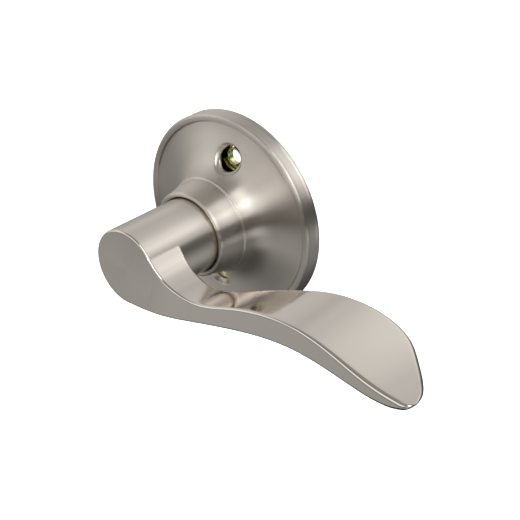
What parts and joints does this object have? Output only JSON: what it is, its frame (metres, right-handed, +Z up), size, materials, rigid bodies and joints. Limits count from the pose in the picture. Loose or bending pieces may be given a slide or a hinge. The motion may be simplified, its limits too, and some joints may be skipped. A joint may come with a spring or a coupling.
{
  "type": "lever handle lockset",
  "caption": "Room-side half of a tubular lever lockset: wave-shaped lever on a round rose with a spring-return cage, mounting plate and half-round spindle socket.",
  "frame": {"origin": "on the spindle axis in the plane of the door face", "axes": "+Y into the door along the spindle axis, +X along the lever's arm, +Z up"},
  "size_m": [0.1357, 0.0494, 0.0666],
  "materials": {
    "satin_nickel": "satin brushed nickel plate under clear lacquer",
    "yellow_zinc": "yellow chromate zinc plate with green and pink tints",
    "bright_zinc": "clear zinc plate",
    "spring_steel": "oiled spring steel",
    "nylon": "moulded black nylon"
  },
  "bodies": {
    "rose_assembly": {"rose_cover": "satin_nickel", "collar_bushing": "nylon", "mounting_plate": "yellow_zinc", "screw_ferrule_upper": "yellow_zinc", "screw_ferrule_lower": "yellow_zinc", "spring_cage": "yellow_zinc", "cage_rivet_1": "bright_zinc", "cage_rivet_2": "bright_zinc", "cage_rivet_3": "bright_zinc", "rear_bush": "nylon", "front_bush": "nylon", "spring_washer": "spring_steel", "return_spring": "spring_steel"},
    "lever": {"lever_handle": "satin_nickel", "spindle_tube": "bright_zinc", "spindle_socket": "bright_zinc", "socket_pin": "spring_steel", "drive_cam": "yellow_zinc", "retaining_ring": "spring_steel", "catch_spring": "spring_steel"},
    "catch": {"lever_catch": "bright_zinc"}
  },
  "joints": [
    {"name": "lever_turn", "type": "hinge", "parent": "rose_assembly", "child": "lever", "pos_m": [0, 0, 0], "axis": [0, 1, 0], "range_deg": [-50, 50], "stiffness_Nm_per_rad": 1.5, "springref_deg": -1.72, "deforming": ["return_spring"]},
    {"name": "catch_press", "type": "slide", "parent": "lever", "child": "catch", "axis": [0, 0, 1], "range_m": [0, 0.0026], "stiffness_N_per_m": 900, "springref_m": -0.002, "deforming": ["catch_spring"]}
  ]
}
